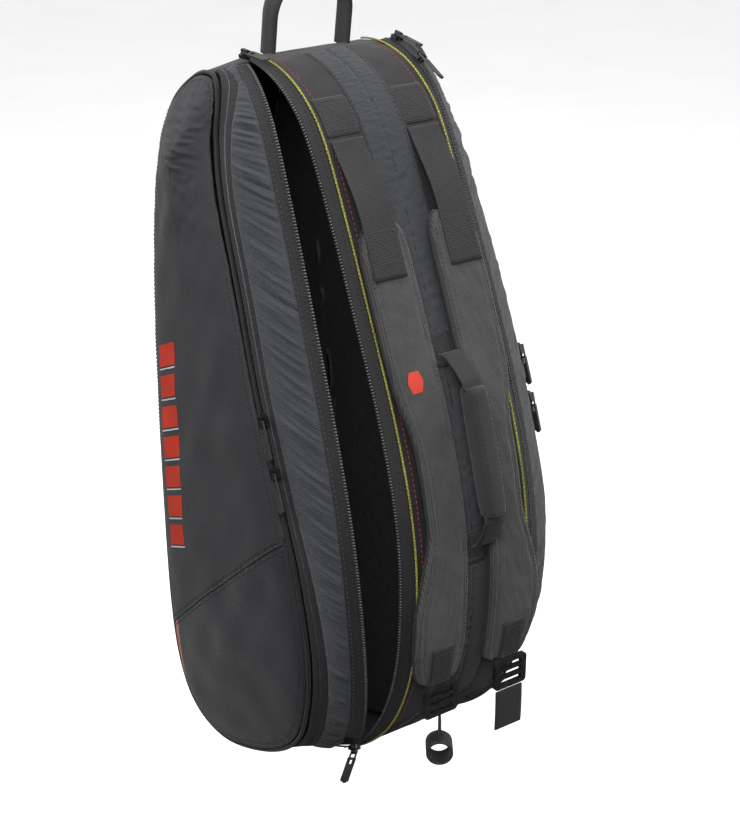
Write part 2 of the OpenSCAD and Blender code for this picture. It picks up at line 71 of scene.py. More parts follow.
# ---------------------------------------------------------------- outline, as in the part
BAND = np.array([
    [-12, -75], [-55, -82.5], [-92, -104], [-120, -137.5], [-155, -208], [-195, -298], [-231, -384],
    [-256, -468], [-264, -550], [-255, -635], [-222, -708], [-165, -762], [-90, -798], [-10, -824],
    [52, -812], [88, -768], [96, -690], [92, -560], [90, -420], [88, -280], [84, -180], [66, -115],
    [28, -83],
], float)
LID = np.array([
    [118, -6, -84], [121, -20, -93], [125, -26, -112], [130, -30, -140], [138, -48, -190], [145, -85, -272],
    [150, -118, -355], [151, -151, -440], [150, -182, -528], [146, -195, -618], [140, -181, -690],
    [134, -150, -742], [132, -94, -782], [132, -15, -810], [132, 44, -802], [132, 77, -764], [136, 86, -688],
    [140, 84, -560], [141, 82, -420], [138, 80, -280], [132, 74, -188], [126, 56, -125], [118, 24, -92],
], float)
STATIONS = len(BAND)
FOOT = 11.0
MOUTH_END = 10.5
SPINE_HALF = 68.0
SPINE_TAPE = 14.0
LIP_START = 17.5
LIP_TAPE = 16.0
POCKET_BAND = 20.0
LID_GAP = 4.5
GUSSET_BULGE = 10.0
LID_BULGE = 13.0
CORE_TOP = np.array([10.0, -170.0])
CORE_FOOT = np.array([-60.0, -640.0])
CORE_X = 147.0
LEFT_OPEN = 20.0
SEAM_POINT = np.array([-53.0, -596.0])
SEAM_NORMAL = np.array([math.sin(math.radians(40)), math.cos(math.radians(40))])


def on_curve(points, u):
    u = np.asarray(u, float)
    i = np.floor(u).astype(int)
    f = (u - i)[..., None]
    a, b, c, d = (points[(i + k) % len(points)] for k in (-1, 0, 1, 2))
    return 0.5 * (2 * b + (c - a) * f + (2 * a - 5 * b + 4 * c - d) * f**2 + (3 * b - a - 3 * c + d) * f**3)


def unit(v):
    v = np.asarray(v, float)
    return v / np.linalg.norm(v, axis=-1, keepdims=True)


def spread(*values):
    return np.broadcast_arrays(*(np.asarray(v, float) for v in values))


def band(u):
    return on_curve(BAND, u)


def lid(u):
    return on_curve(LID, u)


def outward(u):
    run = unit(band(np.asarray(u) + 0.02) - band(np.asarray(u) - 0.02))
    return np.stack([run[..., 1], -run[..., 0]], -1)


def over(x, u, lift):
    """A point above the band: x across, u the station, lift the height."""
    x, u, lift = spread(x, u, lift)
    return np.concatenate([x[..., None], band(u) + lift[..., None] * outward(u)], -1)


def normal_at(u):
    n = outward(u)
    return np.concatenate([np.zeros_like(n[..., :1]), n], -1)


def seam(u):
    return over(SPINE_HALF, u, 0)


def chord(u):
    return lid(u) - seam(u)


def reach(u):
    return np.linalg.norm(chord(u), axis=-1)


def section_out(u):
    n, c = normal_at(u), chord(u)
    inset = -(c * n).sum(-1)
    return unit(np.stack([inset, c[..., 0] * n[..., 1], c[..., 0] * n[..., 2]], -1))


def puff(u):
    return np.clip((reach(u) - 60) / 60, 0, 1)


def rail(u, fraction, bulge):
    u, fraction, bulge = spread(u, fraction, bulge)
    return seam(u) + chord(u) * fraction[..., None] + section_out(u) * bulge[..., None]


def from_seam(u, d, bulge):
    u, d, bulge = spread(u, d, bulge)
    return rail(u, d / reach(u), bulge)


def from_lid(u, d, bulge):
    u, d, bulge = spread(u, d, bulge)
    return rail(u, 1 - d / reach(u), bulge)


def pocket_w(u):
    return np.minimum(POCKET_BAND, 0.3 * reach(u))


def lip_w(u):
    return np.minimum(LIP_TAPE, 0.2 * reach(u))


def pocket_edge(u):
    return from_lid(u, pocket_w(u), (GUSSET_BULGE + 3) * puff(u))


def lip_edge(u, d):
    return from_seam(u, d, 4 + 4 * (np.asarray(d) - SPINE_TAPE) / LIP_TAPE * puff(u))


HINGE_TOP = lip_edge(0.0, LIP_START)
HINGE_FOOT = lip_edge(MOUTH_END, LIP_START)
HINGE_AXIS = unit(HINGE_FOOT - HINGE_TOP)


def turned(p, origin, axis, degrees):
    v, t = p - origin, math.radians(degrees)
    along = (v @ axis)[..., None] * axis
    return origin + v * math.cos(t) + np.cross(axis, v) * math.sin(t) + along * (1 - math.cos(t))


def opened(p, degrees):
    """A point of the lip when the mouth stands open."""
    return turned(p, HINGE_TOP, HINGE_AXIS, -degrees)


def pocket_line(u):
    return (pocket_edge(u) + from_lid(u, LID_GAP, 2)) / 2


def pocket_out(u):
    across = unit(from_lid(u, LID_GAP, 2) - pocket_edge(u))
    run = unit(pocket_line(u + 0.3) - pocket_line(u - 0.3))
    return unit(np.cross(run, across))


def arc_length(points):
    steps = np.linalg.norm(np.diff(points, axis=0), axis=-1)
    return np.concatenate([[0], np.cumsum(steps)])


def evenly(line, start, end, pitch):
    """Stations at equal steps of length along a rail."""
    u = np.linspace(start, end, 1200)
    s = arc_length(line(u))
    return np.interp(np.arange(0, s[-1], pitch), s, u)


def ripple(a, b, scale_a, scale_b, seed, ridged=False, terms=10):
    """A smooth random height, about -1 to 1, at the places (a, b)."""
    rng = np.random.default_rng(seed)
    total = np.zeros(np.broadcast(a, b).shape)
    for _ in range(terms):
        fa, fb = rng.normal(0, 1, 2) / (scale_a, scale_b)
        wave = np.sin(2 * math.pi * (a * fa + b * fb) + rng.uniform(0, 2 * math.pi))
        total += 1 - 2 * np.abs(wave) ** 0.8 if ridged else wave
    return total / math.sqrt(terms)


# ---------------------------------------------------------------- materials
class Shader:
    """A Principled material and the few node shapes that the fabrics share."""

    def __init__(self, name, color, roughness, **sockets):
        self.material = bpy.data.materials.new(name)
        self.material.use_nodes = True
        self.tree = self.material.node_tree
        self.out = self.tree.nodes["Principled BSDF"]
        self.out.inputs["Base Color"].default_value = (*color, 1)
        self.out.inputs["Roughness"].default_value = roughness
        for key, value in sockets.items():
            label = key.replace("_", " ").title().replace("Ior", "IOR")
            self.out.inputs[label].default_value = value
        self.material.diffuse_color = (*color, 1)

    def node(self, kind, values=(), **settings):
        made = self.tree.nodes.new("ShaderNode" + kind)
        for key, value in settings.items():
            setattr(made, key, value)
        for key, value in dict(values).items():
            if isinstance(value, bpy.types.NodeSocket):
                self.tree.links.new(value, made.inputs[key])
            else:
                made.inputs[key].default_value = value
        return made

    def math(self, operation, a, b=0.0, clamp=False):
        return self.node("Math", {0: a, 1: b}, operation=operation, use_clamp=clamp).outputs[0]

    def flat(self):
        """Millimetres across and along the piece's own cloth."""
        return self.node("Attribute", attribute_name="flat").outputs["Vector"]

    def part(self, name, axis):
        found = self.node("Attribute", attribute_name=name).outputs["Vector"]
        return self.node("SeparateXYZ", {0: found}).outputs[axis]

    def turned(self, vector, degrees, scale=(1, 1, 1)):
        return self.node(
            "Mapping", {"Vector": vector, "Rotation": (0, 0, math.radians(degrees)), "Scale": scale}
        ).outputs[0]

    def bands(self, vector, pitch, direction="X", distortion=0.0):
        """Stripes of that pitch in millimetres."""
        wave = self.node(
            "TexWave",
            {"Vector": vector, "Scale": math.pi / 10 / pitch, "Distortion": distortion, "Detail": 1.0},
            bands_direction=direction,
        )
        return wave.outputs["Fac"]

    def noise(self, vector, size, detail=2.0):
        return self.node(
            "TexNoise", {"Vector": vector, "Scale": 1 / size, "Detail": detail, "Roughness": 0.6}
        ).outputs["Fac"]

    def ramp(self, factor, stops):
        made = self.node("ValToRGB", {0: factor})
        ramp = made.color_ramp
        while len(ramp.elements) < len(stops):
            ramp.elements.new(0.5)
        for element, (place, color) in zip(ramp.elements, stops):
            element.position, element.color = place, (*color, 1)
        return made.outputs[0]

    def mix(self, factor, a, b):
        made = self.node("Mix", {0: factor}, data_type="RGBA")
        for key, value in ((6, a), (7, b)):
            if isinstance(value, bpy.types.NodeSocket):
                self.tree.links.new(value, made.inputs[key])
            else:
                made.inputs[key].default_value = (*value, 1)
        return made.outputs[2]

    def between(self, value, low, high, soft=0.3):
        """1 where the value lies from low to high, with soft edges."""
        up = self.node("MapRange", {0: value, 1: low - soft, 2: low + soft, 3: 0.0, 4: 1.0}).outputs[0]
        down = self.node("MapRange", {0: value, 1: high - soft, 2: high + soft, 3: 1.0, 4: 0.0}).outputs[0]
        return self.math("MULTIPLY", up, down)

    def color(self, socket):
        self.tree.links.new(socket, self.out.inputs["Base Color"])

    def roughness(self, socket):
        self.tree.links.new(socket, self.out.inputs["Roughness"])

    def bump(self, height, distance, strength=1.0, under=None):
        values = {"Height": height, "Distance": distance * MM, "Strength": strength}
        made = self.node("Bump", values)
        if under is not None:
            self.tree.links.new(under, made.inputs["Normal"])
        self.tree.links.new(made.outputs[0], self.out.inputs["Normal"])
        return made.outputs[0]


def cloth(name, dark, light, pitch, angle=45.0, style="twill", rough=0.82, sheen=0.35, crinkle=0.0,
          relief=0.25, specular=0.3, shade=0.42):
    """A woven fabric: threads of two tones at that pitch, with slow colour changes and fine creases."""
    dark, light = (tuple(shade * c for c in tone) for tone in (dark, light))
    s = Shader(name, light, rough, sheen_weight=0.3 * sheen, sheen_roughness=0.45,
               specular_ior_level=specular)
    flat = s.flat()
    weave_plane = s.turned(flat, angle)
    threads = s.bands(weave_plane, pitch, "X", 0.6)
    if style == "plain":
        threads = s.math("MULTIPLY", threads, s.bands(weave_plane, pitch, "Y", 0.6))
    elif style == "twill":
        cross = s.bands(s.turned(flat, angle + 63), pitch * 0.8, "X", 0.8)
        threads = s.math("ADD", s.math("MULTIPLY", threads, 0.65), s.math("MULTIPLY", cross, 0.35))
    elif style == "ribbed":
        threads = s.bands(flat, pitch, "Y", 0.2)
        edge = s.bands(flat, pitch * 0.9, "X", 0.3)
        threads = s.math("ADD", s.math("MULTIPLY", threads, 0.7), s.math("MULTIPLY", edge, 0.3))
    speckle = s.noise(flat, pitch * 1.3, 3.0)
    slow = s.noise(flat, 60.0, 3.0)
    tone = s.math("ADD", s.math("MULTIPLY", threads, 0.55), s.math("MULTIPLY", speckle, 0.45))
    tone = s.math("ADD", tone, s.math("MULTIPLY", s.math("SUBTRACT", slow, 0.5), 0.5), clamp=True)
    s.color(s.ramp(tone, [(0.15, dark), (0.85, light)]))
    s.roughness(s.node("MapRange", {0: tone, 1: 0.0, 2: 1.0, 3: rough + 0.08, 4: rough - 0.08}).outputs[0])
    under = None
    if crinkle:
        creases = s.math("ADD", s.noise(flat, 9.0, 4.0), s.noise(s.turned(flat, 20, (1, 3, 1)), 26.0, 3.0))
        under = s.bump(creases, crinkle, 1.0)
    s.bump(s.math("ADD", threads, s.math("MULTIPLY", speckle, 0.5)), relief, 0.8, under)
    return s


def build_materials():
    made = {
        "lid_shell": cloth("lid_shell", (0.030, 0.031, 0.035), (0.062, 0.064, 0.072), 1.5, 40, "plain",
                           rough=0.66, sheen=0.25, relief=0.12, crinkle=0.25),
        "gusset_twill": cloth("gusset_twill", (0.036, 0.039, 0.047), (0.082, 0.088, 0.104), 1.9, 52,
                              rough=0.72, sheen=0.4, relief=0.35, crinkle=1.3),
        "panel_twill": cloth("panel_twill", (0.032, 0.034, 0.039), (0.072, 0.076, 0.086), 1.9, 48,
                             rough=0.74, sheen=0.35, relief=0.35, crinkle=1.2),
        "spine_fabric": cloth("spine_fabric", (0.020, 0.020, 0.022), (0.052, 0.053, 0.058), 1.3, 30,
                              "plain", shade=0.3,
                              rough=0.62, sheen=0.3, relief=0.12, crinkle=0.35),
        "lining": cloth("lining", (0.010, 0.010, 0.011), (0.024, 0.024, 0.027), 1.4, 0, "plain",
                        rough=0.7, relief=0.15, crinkle=0.8),
        "zip_tape": cloth("zip_tape", (0.010, 0.010, 0.011), (0.034, 0.034, 0.037), 1.2, 0, "twill",
                          rough=0.7, sheen=0.2, relief=0.2),
        "webbing": cloth("webbing", (0.012, 0.012, 0.012), (0.050, 0.050, 0.051), 1.9, 0, "ribbed",
                         rough=0.62, sheen=0.25, relief=0.45),
        "pad_fabric": cloth("pad_fabric", (0.022, 0.022, 0.022), (0.150, 0.148, 0.145), 1.7, 0, "twill",
                            rough=0.85, sheen=0.5, relief=0.35, crinkle=0.3),
        "binding": cloth("binding", (0.010, 0.010, 0.010), (0.038, 0.038, 0.040), 1.4, 0, "ribbed",
                         rough=0.7, relief=0.25),
        "accent_piping": cloth("accent_piping", (0.05, 0.05, 0.012), (0.50, 0.47, 0.07), 2.6, 35, "plain",
                               rough=0.6, sheen=0.2, relief=0.2, shade=1.0),
        "black_piping": cloth("black_piping", (0.008, 0.008, 0.009), (0.030, 0.030, 0.033), 1.4, 35, "plain",
                              rough=0.55, relief=0.25),
    }
    made["lid_base"] = lid_base()
    made["grip"] = cloth("grip", (0.025, 0.025, 0.026), (0.125, 0.124, 0.122), 1.7, 0, "twill", shade=0.26,
                         rough=0.85, sheen=0.4, relief=0.3)
    made["zip_metal"] = hard("zip_metal", (0.035, 0.036, 0.038), 0.32, 0.85)
    made["pull_rubber"] = hard("pull_rubber", (0.020, 0.020, 0.021), 0.5, 0.0)
    made["buckle_plastic"] = hard("buckle_plastic", (0.010, 0.010, 0.011), 0.22, 0.0, 0.4)
    made["stiffener"] = hard("stiffener", (0.035, 0.035, 0.036), 0.7, 0.0)
    made["zip_teeth"] = hard("zip_teeth", (0.022, 0.022, 0.024), 0.35, 0.0)
    made["thread_red"] = cloth("thread_red", (0.22, 0.006, 0.014), (0.42, 0.014, 0.028), 0.7, 35, "plain",
                               rough=0.6,
                                shade=1.0)
    made["thread_dark"] = cloth("thread_dark", (0.010, 0.010, 0.010), (0.045, 0.045, 0.048), 0.7, 35,
                                "plain",
                                rough=0.55)
    made["thread_grey"] = cloth("thread_grey", (0.06, 0.06, 0.065), (0.14, 0.14, 0.15), 0.7, 35, "plain",
                                rough=0.6)
    made["print_red"] = cloth("print_red", (0.36, 0.024, 0.012), (0.56, 0.045, 0.022), 1.5, 40, "plain",
                              rough=0.5, sheen=0.05, relief=0.08, shade=1.0)
    made["print_white"] = cloth("print_white", (0.45, 0.46, 0.47), (0.70, 0.71, 0.72), 1.5, 40, "plain",
                                rough=0.5, sheen=0.05, relief=0.08, shade=0.8)
    return {name: shader.material for name, shader in made.items()}


def lid_base():
    """The lid's lower panel: diagonal twill with a red band and a thin gold line by the back edge."""
    s = cloth("lid_base", (0.018, 0.020, 0.026), (0.060, 0.064, 0.080), 2.2, 58, shade=0.24,
              rough=0.68, sheen=0.35, relief=0.35, crinkle=0.35)
    plain = s.out.inputs["Base Color"].links[0].from_socket
    edge, station = s.part("rim", 0), s.part("rim", 1)
    taper = s.node("MapRange", {0: station, 1: 14.2, 2: 16.4, 3: 0.25, 4: 1.0}).outputs[0]
    stretch = s.math("DIVIDE", edge, taper)
    here = s.between(station, 13.9, 20.0, 0.1)
    red = s.math("MULTIPLY", s.between(stretch, 24.0, 34.0), here)
    gold = s.math("MULTIPLY", s.between(stretch, 36.5, 39.0), here)
    painted = s.mix(red, plain, (0.48, 0.032, 0.015))
    s.color(s.mix(gold, painted, (0.70, 0.46, 0.05)))
    return s


def hard(name, color, rough, metallic, coat=0.0):
    s = Shader(name, color, rough, metallic=metallic, coat_weight=coat)
    place = s.node("TexCoord").outputs["Object"]
    grain = s.noise(place, 0.0011, 3.0)
    s.roughness(s.node("MapRange", {0: grain, 1: 0.3, 2: 0.7, 3: rough - 0.06, 4: rough + 0.12}).outputs[0])
    worn = s.noise(place, 0.006, 4.0)
    darker, lighter = tuple(0.8 * c for c in color), tuple(1.5 * c + 0.004 for c in color)
    s.color(s.ramp(worn, [(0.35, darker), (0.7, lighter)]))
    s.bump(grain, 0.05, 0.6)
    return s


MATERIALS = build_materials()


# ---------------------------------------------------------------- mesh making
def quads(rows, cols, wrap_rows=False, wrap_cols=False):
    i = np.arange(rows if wrap_rows else rows - 1)[:, None]
    j = np.arange(cols if wrap_cols else cols - 1)[None, :]
    a, c = i * cols + j, ((i + 1) % rows) * cols + j
    b, d = i * cols + (j + 1) % cols, ((i + 1) % rows) * cols + (j + 1) % cols
    return np.stack([a, c, d, b], -1).reshape(-1, 4)


def piece(name, points, faces, look, body, slot=None, left=False, replaces=(), blend=None, **attributes):
    """Makes a mesh object from points and attributes in millimetres. left mirrors it to the other side."""
    points = np.asarray(points, float).reshape(-1, 3)
    faces = [list(map(int, f)) for f in faces]
    if left:
        points = points * (-1, 1, 1)
        faces = [f[::-1] for f in faces]
    mesh = bpy.data.meshes.new(name)
    mesh.from_pydata((points * MM).tolist(), [], faces)
    for key, values in attributes.items():
        values = np.asarray(values, float).reshape(len(points), -1)
        values = np.pad(values, ((0, 0), (0, 3 - values.shape[1])))
        stored = mesh.attributes.new(key, "FLOAT_VECTOR", "POINT")
        stored.data.foreach_set("vector", values.astype(np.float32).ravel())
    mesh.polygons.foreach_set("use_smooth", [True] * len(mesh.polygons))
    mesh.materials.append(MATERIALS[look])
    obj = bpy.data.objects.new(name, mesh)
    bpy.context.scene.collection.objects.link(obj)
    if blend:
        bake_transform(obj)
    else:
        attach(obj, body)
    if replaces:
        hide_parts(*replaces)
    return obj


def thicken(obj, thick, offset=-1.0):
    made = obj.modifiers.new("thickness", "SOLIDIFY")
    made.thickness = thick * MM
    made.offset = offset
    made.use_quality_normals = True
    return obj


def cloth_grid(points):
    """Distances across and along a grid of points, for the weave."""
    rows, cols = points.shape[:2]
    middle = points[:, cols // 2]
    along = np.repeat(arc_length(middle)[:, None], cols, 1)
    across = np.stack([arc_length(row) for row in points])
    across = across - across[:, cols // 2][:, None]
    return np.stack([across, along], -1)


def panel(name, points, look, body, thick, **options):
    rows, cols = points.shape[:2]
    obj = piece(name, points, quads(rows, cols), look, body, flat=cloth_grid(points), **options)
    return thicken(obj, thick)


def frames_along(points, closed=False):
    after, before = np.roll(points, -1, 0), np.roll(points, 1, 0)
    if not closed:
        after[-1], before[0] = points[-1], points[0]
    return unit(after - before)


def loft(name, rings, look, body, closed=False, **options):
    """A closed tube through rings of points; open ends are capped."""
    n, k = rings.shape[:2]
    faces = [tuple(f) for f in quads(n, k, wrap_rows=closed, wrap_cols=True)]
    if not closed:
        faces += [tuple(range(k)), tuple((n - 1) * k + j for j in range(k - 1, -1, -1))]
    around = np.stack([np.append(arc_length(r), 0)[:k] for r in rings])
    along = np.repeat(arc_length(rings.mean(1))[:, None], k, 1)
    options.setdefault("flat", np.stack([around, along], -1))
    obj = piece(name, rings, faces, look, body, **options)
    return outward_faces(obj)


def outward_faces(obj):
    bm = bmesh.new()
    bm.from_mesh(obj.data)
    bmesh.ops.recalc_face_normals(bm, faces=bm.faces)
    bm.to_mesh(obj.data)
    bm.free()
    return obj


def tube(name, points, radius, look, body, sides=10, closed=False, up=(1, 0, 0), **options):
    points = np.asarray(points, float)
    run = frames_along(points, closed)
    a = unit(np.cross(run, np.asarray(up, float)))
    b = np.cross(run, a)
    angles = np.linspace(0, 2 * math.pi, sides, endpoint=False)
    radius = np.broadcast_to(np.asarray(radius, float), (len(points),))[:, None, None]
    circle = a[:, None] * np.cos(angles)[None, :, None] + b[:, None] * np.sin(angles)[None, :, None]
    return loft(name, points[:, None] + radius * circle, look, body, closed, **options)


def strap(name, centre, across, width, thick, look, body, **options):
    """A flat ribbon with rounded edges along a line of points; across is the direction of its width."""
    centre = np.asarray(centre, float)
    n = len(centre)
    across = unit(np.broadcast_to(np.asarray(across, float), (n, 3)))
    up = unit(np.cross(frames_along(centre), across))
    w = np.broadcast_to(np.asarray(width, float), (n,))[:, None, None] / 2
    t = thick / 2
    side = np.array([-1, -1, -0.97, -0.75, -0.4, 0, 0.4, 0.75, 0.97, 1, 1])
    high = np.array([-0.4, 0.4, 0.9, 1, 1, 1, 1, 1, 0.9, 0.4, -0.4])
    side = np.concatenate([side, [0.97, 0.4, -0.4, -0.97]])
    high = np.concatenate([high, [-0.95, -1, -1, -0.95]])
    rings = centre[:, None] + across[:, None] * side[None, :, None] * w + up[:, None] * high[None, :,
                                                                                             None] * t
    along = arc_length(centre)
    flat = np.stack([np.broadcast_to(side * width_of(width) / 2, (n, len(side))),
                     np.repeat(along[:, None], len(side), 1)], -1)
    return loft(name, rings, look, body, flat=flat, **options)


def width_of(width):
    return float(np.max(width))


def scatter(name, places, runs, ups, template, faces, look, body, **options):
    """Copies a small shape, given in local x, y, z, to each place with its own run and up directions."""
    places, runs = np.asarray(places, float), unit(runs)
    sides = unit(np.cross(ups, runs))
    ups = np.cross(runs, sides)
    template = np.asarray(template, float)
    points = (places[:, None] + runs[:, None] * template[None, :, :1] + sides[:, None] * template[None, :,
                                                                                                  1:2]
              + ups[:, None] * template[None, :, 2:])
    k = len(template)
    all_faces = [tuple(i * k + j for j in f) for i in range(len(places)) for f in faces]
    flat = np.tile(template[:, :2], (len(places), 1)) + np.repeat(np.arange(len(places)) * 3.7, k)[:, None]
    return piece(name, points, all_faces, look, body, flat=flat, **options)


def stitch_shape(length, radius):
    ring = [(x, radius * f * math.cos(a), radius * f * 0.8 * math.sin(a))
            for x, f in ((-length * 0.28, 1), (length * 0.28, 1)) for a in np.arange(5) * 2 * math.pi / 5]
    points = [(-length / 2, 0, -radius * 0.6), *ring, (length / 2, 0, -radius * 0.6)]
    faces = [(0, 1 + (j + 1) % 5, 1 + j) for j in range(5)]
    faces += [(1 + j, 1 + (j + 1) % 5, 6 + (j + 1) % 5, 6 + j) for j in range(5)]
    faces += [(11, 6 + j, 6 + (j + 1) % 5) for j in range(5)]
    return points, faces


def stitches(name, line, ups, look, body, pitch=5.0, length=3.2, radius=0.45, **options):
    """A row of stitches along a line of points, each lying on the cloth."""
    s = arc_length(line)
    at = np.arange(pitch / 2, s[-1], pitch)
    places = np.stack([np.interp(at, s, line[:, k]) for k in range(3)], -1)
    normals = np.stack([np.interp(at, s, np.broadcast_to(ups, line.shape)[:, k]) for k in range(3)], -1)
    ahead = np.stack([np.interp(at + 0.5, s, line[:, k]) - np.interp(at - 0.5, s,
                                                                     line[:, k]) for k in range(3)], -1)
    points, faces = stitch_shape(length, radius)
    return scatter(name, places, ahead, normals, points, faces, look, body, **options)


# ---------------------------------------------------------------- shared shapes
SIDES = (("right", False), ("left", True))


def smooth(t):
    t = np.clip(t, 0, 1)
    return t * t * (3 - 2 * t)


def bell(t, power=0.7):
    return np.clip(np.sin(math.pi * np.clip(t, 0, 1)), 0, 1) ** power


def drawn_in(edge, steps):
    """Rings from an edge towards the line in the middle of a side, as (y, z), with each ring's reach.

    The last ring's places are shared by both sides of that line, so that they weld."""
    axis = CORE_FOOT - CORE_TOP
    f = np.clip((edge[:, 1:] - CORE_TOP) @ axis / (axis @ axis), 0, 1)
    kernel = np.hanning(33) / np.hanning(33).sum()
    f = np.convolve(np.concatenate([f[-40:], f, f[:40]]), kernel, "same")[40:-40]
    core = CORE_TOP + f[:, None] * axis
    shared = CORE_TOP + np.round(f * 36)[:, None] / 36 * axis
    span = np.linalg.norm(core - edge[:, 1:], axis=1)[:, None]
    yz = edge[:, None, 1:] + (core - edge[:, 1:])[:, None] * steps[..., None]
    yz[:, -1] = np.where(steps[:, -1:] > 0.999, shared, yz[:, -1])
    return yz, span * steps


def weld(obj, distance=0.25):
    bm = bmesh.new()
    bm.from_mesh(obj.data)
    bmesh.ops.remove_doubles(bm, verts=bm.verts, dist=distance * MM)
    bm.to_mesh(obj.data)
    bm.free()
    return obj


def cut_at_seam(obj, keep_upper):
    bm = bmesh.new()
    bm.from_mesh(obj.data)
    bmesh.ops.bisect_plane(
        bm, geom=bm.verts[:] + bm.edges[:] + bm.faces[:], dist=1e-6,
        plane_co=(0, *(SEAM_POINT * MM)), plane_no=(0, *SEAM_NORMAL),
        clear_inner=keep_upper, clear_outer=not keep_upper,
    )
    bm.to_mesh(obj.data)
    bm.free()
    return obj


# ---------------------------------------------------------------- lids
def lid_points():
    u = np.arange(0, STATIONS, 1 / 12)
    edge = lid(u)
    near = np.linspace(0, 0.12, 12)[:-1]
    steps = np.concatenate([near, np.linspace(0.12, 1, 30)])
    _, span = drawn_in(edge, np.ones((len(u), 1)))
    steps = 2.6 / span + (1 - 2.6 / span) * steps[None]
    yz, inside = drawn_in(edge, steps)
    rise = 1 + LID_BULGE * (1 - np.exp(-steps / 0.15)) ** 0.9
    gathers = 0.55 * ripple(u[:, None] * 34, inside, 15, 70, 5) * np.exp(-inside / 13)
    waves = 0.9 * ripple(yz[..., 0], yz[..., 1], 90, 130, 8) * smooth(inside / 45)
    top = smooth((yz[..., 1] + 330) / 180) * smooth(inside / 30)
    waves = waves + 1.1 * ripple(yz[..., 0], yz[..., 1], 60, 26, 9, ridged=True) * top
    x = edge[:, :1] + (CORE_X - edge[:, :1]) * smooth(steps) + rise + gathers + waves
    rim = np.stack([inside, np.broadcast_to(u[:, None], inside.shape)], -1)
    return np.concatenate([x[..., None], yz], -1), rim


LID_POINTS, LID_RIM = lid_points()
LID_FACES = quads(*LID_POINTS.shape[:2], wrap_rows=True)
LID_TREE = BVHTree.FromPolygons(LID_POINTS.reshape(-1, 3).tolist(), LID_FACES.tolist())


def on_lid(yz, lift=0.0):
    """Places on the right lid's cloth above points (y, z)."""
    found = []
    for y, z in np.asarray(yz, float).reshape(-1, 2):
        hit = LID_TREE.ray_cast(Vector((400, y, z)), Vector((-1, 0, 0)))[0]
        found.append((hit.x + lift if hit else np.nan, y, z))
    found = np.array(found)
    return found[~np.isnan(found[:, 0])]


SEAM_RUN = np.array([SEAM_NORMAL[1], -SEAM_NORMAL[0]])
SEAM_LINE = SEAM_POINT + np.linspace(-230, 230, 180)[:, None] * SEAM_RUN
BAR_YZ = [(37.0, -372.0 - 34.0 * k) for k in range(7)]

for side, mirrored in SIDES:
    body = side + "_lid"
    for part, look, upper in (("upper", "lid_shell", True), ("lower", "lid_base", False)):
        shell = piece(f"{side}_lid_{part}_cloth", LID_POINTS, LID_FACES, look, body, left=mirrored,
                      replaces=[f"{side}_lid_{part}"], flat=LID_POINTS[..., 1:], rim=LID_RIM)
        cut_at_seam(weld(shell), upper)
        thicken(shell, 4)
    tube(f"{side}_lid_welt", lid(np.arange(0, STATIONS, 0.1)), 2.2, "black_piping", body, closed=True,
         left=mirrored, replaces=[f"{side}_lid_piping"])
    tube(f"{side}_lid_seam_bead", on_lid(SEAM_LINE, 0.2), 1.2, "black_piping", body, left=mirrored)
    for k, offset in enumerate((-5.0, 5.0)):
        line = on_lid(SEAM_LINE + offset * SEAM_NORMAL, 0.3)
        stitches(f"{side}_lid_seam_stitch_{k}", line, (1, 0, 0), "thread_dark", body, slot="lid_shell",
                 pitch=4.2, left=mirrored)
    edge = lid(np.arange(0, STATIONS, 0.1))
    yz, _ = drawn_in(edge, np.full((len(edge), 1), 0.07))
    stitches(f"{side}_lid_edge_stitch", on_lid(yz[:, 0], 0.3), (1, 0, 0), "thread_dark", body,
             slot="lid_shell",
             pitch=4.4, left=mirrored)
    for k, (y, z) in enumerate(BAR_YZ):
        a, b = np.meshgrid(np.linspace(-20, 20, 14), np.linspace(12, -12, 9))
        for tone, low, high, lift in (("red", -12, 12, 0.35), ("white", -15.5, -13.8, 0.4)):
            height = low + (b + 12) / 24 * (high - low)
            yz = np.stack([y + a, z + height - 0.45 * a], -1)
            points = on_lid(yz, lift)
            if len(points) == a.size:
                piece(f"{side}_lid_bar_{k}_{tone}", points, quads(*a.shape), "print_" + tone, body,
                      slot="lid_shell", left=mirrored, flat=yz)


# ---------------------------------------------------------------- spine and back
def spine_lift(x, u):
    return 1.1 * (1 - (x / SPINE_HALF) ** 4) + 0.35 * ripple(x, u * 75, 60, 70, 21)


u, x = np.arange(0, FOOT + 0.01, 1 / 14)[:, None], np.linspace(-SPINE_HALF, SPINE_HALF, 49)[None]
grid = over(x, u, spine_lift(x, u))
obj = panel("spine_cloth", grid, "spine_fabric", "bag", 7, replaces=["spine_panel"])
u, x = np.arange(0.25, 9.76, 1 / 30)[:, None], np.linspace(-24, 24, 41)[None]
height = 2.2 + 0.8 * bell((x + 24) / 48) - 1.3 * np.exp(-((x / 2.2) ** 2))
height = height + 0.55 * ripple(x, u * 78, 40, 17, 22, ridged=True) * bell((x + 24) / 48, 0.5)
grid = over(x, u, height)
obj = panel("spine_center_cloth", grid, "panel_twill", "bag", 1.2, replaces=["spine_center_panel"])
for k, sign in enumerate((-1, 1)):
    line_u = np.arange(0.1, 10.95, 0.05)
    line_x = sign * (SPINE_HALF - 8)
    stitches(f"spine_red_stitch_{k}", over(line_x, line_u, spine_lift(line_x, line_u) + 0.2),
             normal_at(line_u),
             "thread_red", "bag", slot="accent_piping", pitch=5.4, length=3.6, radius=0.5)
    edge_u = np.arange(0.3, 9.7, 0.05)
    stitches(f"spine_center_stitch_{k}", over(sign * 22.5, edge_u, 2.6), normal_at(edge_u), "thread_dark",
             "bag",
             slot="panel_twill", pitch=4.6)

